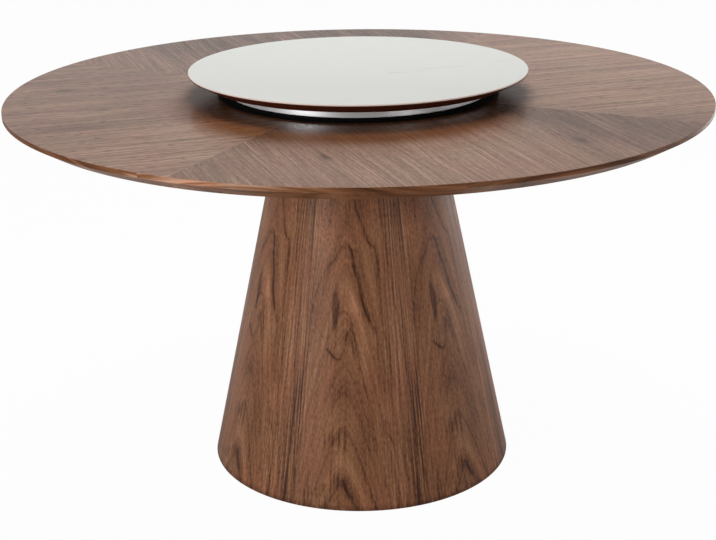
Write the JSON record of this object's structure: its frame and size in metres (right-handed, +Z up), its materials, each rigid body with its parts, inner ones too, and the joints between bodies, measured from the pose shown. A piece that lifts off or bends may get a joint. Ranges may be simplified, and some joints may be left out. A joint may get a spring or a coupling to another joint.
{
  "type": "dining table with lazy susan",
  "caption": "Round walnut-veneered dining table with a bevelled solid edge on a cone pedestal, carrying a ceramic-topped lazy susan that turns on a ball-bearing ring.",
  "frame": {"origin": "on the floor, on the axis of the pedestal and of the turntable", "axes": "+Z up along the axis of the pedestal; -Y is the side that the picture shows"},
  "size_m": [1.356, 1.356, 0.806],
  "materials": {
    "walnut_top_veneer": "satin lacquer",
    "walnut_lipping": "satin lacquer",
    "walnut_cone_veneer": "satin lacquer",
    "walnut_bevel_veneer": "satin lacquer",
    "backing_veneer": "sealed",
    "fibreboard": "raw",
    "plywood": "raw",
    "black_steel": "matt powder coat",
    "zinc_steel": "zinc plated",
    "white_ceramic": "honed",
    "aluminium": "bright satin",
    "bearing_steel": "polished",
    "white_nylon": "moulded",
    "black_nylon": "moulded",
    "black_rubber": "matt"
  },
  "bodies": {
    "table": {"tabletop_core": "fibreboard", "underside_veneer": "backing_veneer", "top_veneer_front": "walnut_top_veneer", "top_veneer_right": "walnut_top_veneer", "top_veneer_back": "walnut_top_veneer", "top_veneer_left": "walnut_top_veneer", "edge_lipping_1": "walnut_lipping", "edge_lipping_2": "walnut_lipping", "edge_lipping_3": "walnut_lipping", "edge_lipping_4": "walnut_lipping", "edge_lipping_5": "walnut_lipping", "edge_lipping_6": "walnut_lipping", "edge_lipping_7": "walnut_lipping", "edge_lipping_8": "walnut_lipping", "mounting_plate": "black_steel", "plate_screws": "zinc_steel", "bolt_washers": "zinc_steel", "threaded_inserts": "zinc_steel", "plate_bolts": "zinc_steel", "cone_shell": "plywood", "cone_veneer_1": "walnut_cone_veneer", "cone_veneer_2": "walnut_cone_veneer", "cone_veneer_3": "walnut_cone_veneer", "cone_veneer_4": "walnut_cone_veneer", "cone_veneer_5": "walnut_cone_veneer", "cone_veneer_6": "walnut_cone_veneer", "cone_veneer_7": "walnut_cone_veneer", "neck_board": "plywood", "mid_former": "plywood", "lower_former": "plywood", "bottom_board": "plywood", "bottom_board_screws": "zinc_steel", "floor_glides": "black_nylon", "glide_screws": "zinc_steel", "fixed_ring": "aluminium", "base_ring": "black_rubber"},
    "turntable": {"turning_ring": "aluminium", "turntable_board": "fibreboard", "turntable_bevel_veneer": "walnut_bevel_veneer", "turntable_stone": "white_ceramic", "ring_screws": "zinc_steel"},
    "ball_row": {"ball_cage": "white_nylon", "bearing_balls": "bearing_steel"}
  },
  "joints": [
    {"name": "turntable_spin", "type": "hinge", "parent": "table", "child": "turntable", "pos_m": [0, 0, 0.7725], "axis": [0, 0, 1], "continuous": true},
    {"name": "ball_row_spin", "type": "hinge", "parent": "table", "child": "ball_row", "pos_m": [0, 0, 0.7725], "axis": [0, 0, 1], "continuous": true}
  ],
  "couplings": [
    {"joint": "ball_row_spin", "follows": "turntable_spin", "ratio": 0.50813}
  ]
}
